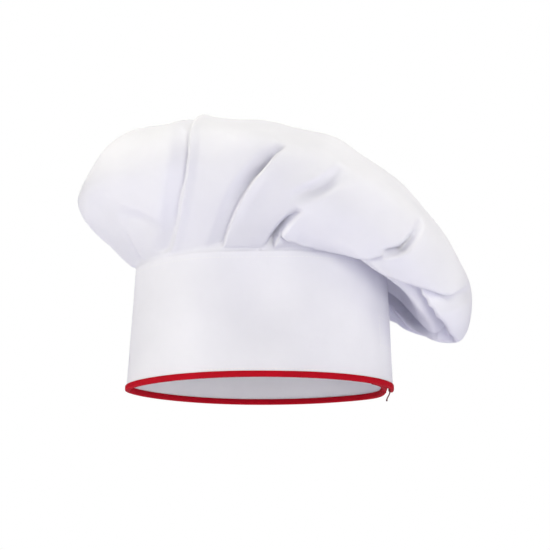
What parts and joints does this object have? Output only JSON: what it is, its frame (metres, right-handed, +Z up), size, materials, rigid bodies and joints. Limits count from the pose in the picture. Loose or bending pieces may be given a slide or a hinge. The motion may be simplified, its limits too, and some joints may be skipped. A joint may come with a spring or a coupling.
{
  "type": "chef toque",
  "caption": "Floppy white chef's hat: a full pleated crown that falls to the back, on a stiffened head band with a red bound rim and a back tab closed by hook-and-loop tape.",
  "frame": {"origin": "middle of the oval head opening, in the plane of the rim's lower edge", "axes": "+Z up through the crown; -X the wearer's front; +X the back, where the band closes and the crown falls over; -Y the wearer's left side"},
  "size_m": [0.3118, 0.252, 0.2163],
  "materials": {
    "white_cloth": "matt plain weave",
    "white_interfacing": "matt felt",
    "red_binding": "slight sheen, plain weave",
    "white_thread": "slight sheen, twisted",
    "white_tape": "matt hook-and-loop pile"
  },
  "bodies": {
    "hat": {"crown": "white_cloth", "band_outer": "white_cloth", "band_interfacing": "white_interfacing", "band_facing": "white_cloth", "band_binding": "red_binding", "binding_needle_thread": "white_thread", "binding_bobbin_thread": "white_thread", "crown_seam_needle_thread": "white_thread", "crown_seam_bobbin_thread": "white_thread", "loop_tape": "white_tape"},
    "closure_tab": {"tab_outer": "white_cloth", "tab_interfacing": "white_interfacing", "tab_facing": "white_cloth", "tab_binding": "red_binding", "tab_binding_needle_thread": "white_thread", "tab_binding_bobbin_thread": "white_thread", "hook_tape": "white_tape"}
  },
  "joints": [
    {"name": "closure_tab_peel", "type": "hinge", "parent": "hat", "child": "closure_tab", "pos_m": [0.09392, 0.01024, 0], "axis": [0.035, 0.0041, -0.9994], "range_deg": [0, 60], "stiffness_Nm_per_rad": 0.02}
  ]
}
